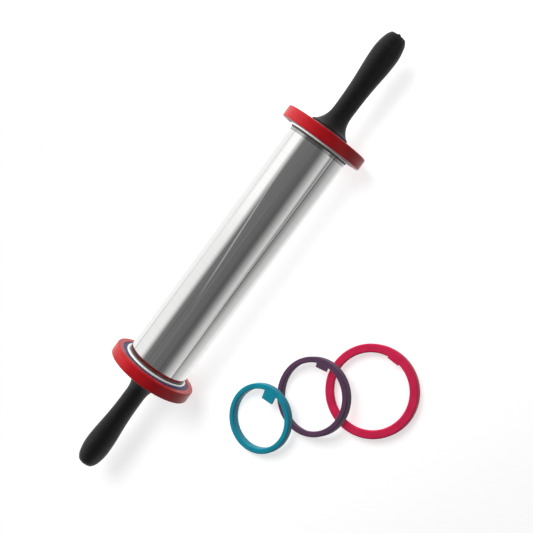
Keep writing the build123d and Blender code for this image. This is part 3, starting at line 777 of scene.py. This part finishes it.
def table_top():
    """White laminate table: near the pin it is lit and keeps the soft shadows, and a little lift takes
    its unshaded parts to white; farther out it is plain white to the horizon. Mirrors see a painted
    reflection of it: for mirror rays it glows with bands whose side towards the spare rings falls
    off to grey, as the room behind the camera does."""
    mesh = bpy.data.meshes.new("table_top")
    corners = np.array([(-1, -1, 0), (1, -1, 0), (1, 1, 0), (-1, 1, 0)], float) * FLOOR_HALF
    mesh.from_pydata(corners, [], [(0, 1, 2, 3)])
    table = bpy.data.objects.new("table_top", mesh)
    bpy.context.scene.collection.objects.link(table)
    finish = bpy.data.materials.new("white_laminate")
    finish.use_nodes = True
    tree = finish.node_tree
    tree.nodes.clear()
    full_white = linear_colour("FFFFFF")
    place = add_node(tree, "ShaderNodeTexCoord").outputs["Object"]
    distance = add_node(tree, "ShaderNodeVectorMath", {"operation": "LENGTH"}, {0: place})
    far = add_node(tree, "ShaderNodeMapRange", {"interpolation_type": "SMOOTHSTEP"}, {
        "Value": distance.outputs["Value"], "From Min": FLOOR_NEAR, "From Max": FLOOR_FAR})
    laminate = add_node(tree, "ShaderNodeBsdfDiffuse", inputs={"Color": linear_colour("E8E8E8")})
    lift = add_node(tree, "ShaderNodeEmission", inputs={"Color": full_white, "Strength": FLOOR_LIFT})
    lit = add_node(tree, "ShaderNodeAddShader", inputs={
        0: laminate.outputs["BSDF"], 1: lift.outputs["Emission"]})
    white = add_node(tree, "ShaderNodeEmission", inputs={"Color": full_white, "Strength": 1.0})
    near_and_far = add_node(tree, "ShaderNodeMixShader", inputs={
        0: far.outputs["Result"], 1: lit.outputs["Shader"], 2: white.outputs["Emission"]})
    axes = add_node(tree, "ShaderNodeSeparateXYZ", inputs={"Vector": place}).outputs
    # The streaks fan out from the pin's line, so each band is shifted more the farther out it lies
    beyond = add_node(tree, "ShaderNodeMath", {"operation": "SUBTRACT"}, {
        0: TABLE_BANDS[-1][0] * MM, 1: axes["Y"]})
    fan = add_node(tree, "ShaderNodeMath", {"operation": "MULTIPLY"}, {
        0: axes["X"], 1: beyond.outputs["Value"]})
    across = add_node(tree, "ShaderNodeMath", {"operation": "MULTIPLY_ADD"}, {
        0: fan.outputs["Value"], 1: TABLE_SLANT, 2: axes["Y"]})
    # Painted reflection: for mirror rays the table glows in these bands instead of being lit
    mirrored = add_node(tree, "ShaderNodeEmission", inputs={
        "Color": bands_over(tree, across.outputs["Value"], TABLE_BANDS, MM), "Strength": TABLE_MIRRORED})
    ray = add_node(tree, "ShaderNodeLightPath").outputs
    shown = add_node(tree, "ShaderNodeMath", {"operation": "MAXIMUM"}, {
        0: ray["Is Camera Ray"], 1: ray["Is Transmission Ray"]})
    for_camera = add_node(tree, "ShaderNodeMixShader", inputs={
        0: shown.outputs["Value"], 1: laminate.outputs["BSDF"], 2: near_and_far.outputs["Shader"]})
    for_gloss = add_node(tree, "ShaderNodeMixShader", inputs={
        0: ray["Is Glossy Ray"], 1: for_camera.outputs["Shader"], 2: mirrored.outputs["Emission"]})
    add_node(tree, "ShaderNodeOutputMaterial", inputs={"Surface": for_gloss.outputs["Shader"]})
    # The glow is for the camera and mirrors alone, so no light samples go to it
    finish.cycles.emission_sampling = "NONE"
    mesh.materials.append(finish)


def room():
    """White room. The camera sees it white and the shading gets an even soft light from it, and
    mirrors see its softbox and screens as bands over the angle round the pin."""
    world = bpy.data.worlds.new("studio_room")
    bpy.context.scene.world = world
    world.use_nodes = True
    # The room's own light is even, so no light samples are needed for it and the lamps get them all
    world.cycles.sampling_method = "NONE"
    tree = world.node_tree
    tree.nodes.clear()
    degree = math.radians(1)
    full_white = linear_colour("FFFFFF")
    direction = add_node(tree, "ShaderNodeTexCoord").outputs["Generated"]
    axes = add_node(tree, "ShaderNodeSeparateXYZ", inputs={"Vector": direction}).outputs
    turn = add_node(tree, "ShaderNodeMath", {"operation": "ARCTAN2"}, {
        0: axes["Z"], 1: axes["Y"]}).outputs["Value"]
    # The screens above the ring side hang aslant, so their streaks shift along the barrel
    lean = add_node(tree, "ShaderNodeMath", {"operation": "MULTIPLY_ADD"}, {
        0: axes["X"], 1: SCREEN_SLANT, 2: -ASLANT_PIVOT * SCREEN_SLANT})
    aslant = add_node(tree, "ShaderNodeMapRange", {"interpolation_type": "SMOOTHSTEP"}, {
        "Value": turn, "From Min": ASLANT_FROM * degree, "From Max": ASLANT_TO * degree})
    leaned = add_node(tree, "ShaderNodeMath", {"operation": "MULTIPLY_ADD"}, {
        0: lean.outputs["Value"], 1: aslant.outputs["Result"], 2: turn})
    slanted = add_node(tree, "ShaderNodeMath", {"operation": "MULTIPLY_ADD"}, {
        0: axes["X"], 1: GLINT_SLANT, 2: turn})
    right_half = add_node(tree, "ShaderNodeMapRange", {"interpolation_type": "SMOOTHSTEP"}, {
        "Value": axes["X"], "From Min": BRIGHT_FROM, "From Max": BRIGHT_TO})
    weave = add_node(tree, "ShaderNodeCombineXYZ", inputs={"X": axes["X"], "Y": turn})
    laid = add_node(tree, "ShaderNodeMapping", inputs={
        "Vector": weave.outputs["Vector"], "Scale": CLOTH_SCALE})
    cloth = add_node(tree, "ShaderNodeTexNoise", {"noise_dimensions": "2D"}, {
        "Vector": laid.outputs["Vector"], "Scale": 1.0, "Detail": 5.0, "Roughness": 0.72})
    streaks = add_node(tree, "ShaderNodeMapRange", inputs={
        "Value": cloth.outputs["Fac"], "From Min": NOISE_LOW, "From Max": NOISE_HIGH,
        "To Min": CLOTH_DARKER, "To Max": CLOTH_LIGHTER})
    bands = bands_over(tree, leaned.outputs["Value"], ROOM_BANDS, degree)
    for amount, added in (
            (bands_over(tree, axes["X"], GLINT_SPAN, 1.0),
             bands_over(tree, slanted.outputs["Value"], GLINT_BANDS, degree)),
            (right_half.outputs["Result"], bands_over(tree, turn, BRIGHT_BANDS, degree)),
            (1.0, streaks.outputs["Result"])):
        bands = add_node(tree, "ShaderNodeMix", {"data_type": "RGBA", "blend_type": "ADD"}, {
            0: amount, 6: bands, 7: added}).outputs[2]
    ray = add_node(tree, "ShaderNodeLightPath").outputs
    shown = add_node(tree, "ShaderNodeMath", {"operation": "MAXIMUM"}, {
        0: ray["Is Camera Ray"], 1: ray["Is Transmission Ray"]})
    soft = add_node(tree, "ShaderNodeBackground", inputs={"Color": full_white, "Strength": AMBIENT})
    white = add_node(tree, "ShaderNodeBackground", inputs={"Color": full_white, "Strength": 1.0})
    mirrored = add_node(tree, "ShaderNodeBackground", inputs={"Color": bands, "Strength": ROOM_MIRRORED})
    seen = add_node(tree, "ShaderNodeMixShader", inputs={
        0: shown.outputs["Value"], 1: soft.outputs["Background"], 2: white.outputs["Background"]})
    gloss = add_node(tree, "ShaderNodeMixShader", inputs={
        0: ray["Is Glossy Ray"], 1: seen.outputs["Shader"], 2: mirrored.outputs["Background"]})
    add_node(tree, "ShaderNodeOutputWorld", inputs={"Surface": gloss.outputs["Shader"]})


def softbox(name, place, size, power, shades=True):
    """Square area lamp aimed at the middle of the set. A lamp that doesn't shade only fills. Mirrors
    see the room's bands in its place."""
    middle_of_set = (0, 0, 0.02)
    lamp = bpy.data.lights.new(name, "AREA")
    lamp.shape = "SQUARE"
    lamp.size = size
    lamp.energy = power
    lamp.use_shadow = shades
    holder = bpy.data.objects.new(name, lamp)
    bpy.context.scene.collection.objects.link(holder)
    holder.location = place
    holder.rotation_euler = (Vector(middle_of_set) - Vector(place)).to_track_quat("-Z", "Y").to_euler()
    holder.visible_glossy = False
    holder.visible_camera = False


def camera():
    """Camera at the photograph's angle: an aim point, a distance, two angles and a roll."""
    data = bpy.data.cameras.new("view_camera")
    data.lens = CAMERA_LENS
    data.sensor_width = CAMERA_SENSOR
    data.sensor_fit = "HORIZONTAL"
    data.clip_start = CAMERA_CLIP_NEAR
    data.clip_end = CAMERA_CLIP_FAR
    holder = bpy.data.objects.new("view_camera", data)
    bpy.context.scene.collection.objects.link(holder)
    azimuth, elevation = math.radians(CAMERA_AZIMUTH), math.radians(CAMERA_ELEVATION)
    away = Vector((math.cos(elevation) * math.cos(azimuth), math.cos(elevation) * math.sin(azimuth),
                   math.sin(elevation)))
    holder.location = Vector(CAMERA_AIM) + away * CAMERA_DISTANCE
    level = (-away).to_track_quat("-Z", "Y")
    holder.rotation_mode = "QUATERNION"
    holder.rotation_quaternion = level @ Quaternion((0, 0, 1), math.radians(CAMERA_ROLL))
    bpy.context.scene.camera = holder


table_top()
room()
softbox("main_softbox", place=(0.28, 0.40, 1.10), size=0.6, power=6.9)
softbox("back_softbox", place=(-0.1, 1.1, 0.5), size=0.8, power=14.5, shades=False)
softbox("side_softbox", place=(1.05, 0.42, 0.42), size=0.5, power=5.6, shades=False)
camera()
bpy.context.scene.view_settings.view_transform = "Standard"
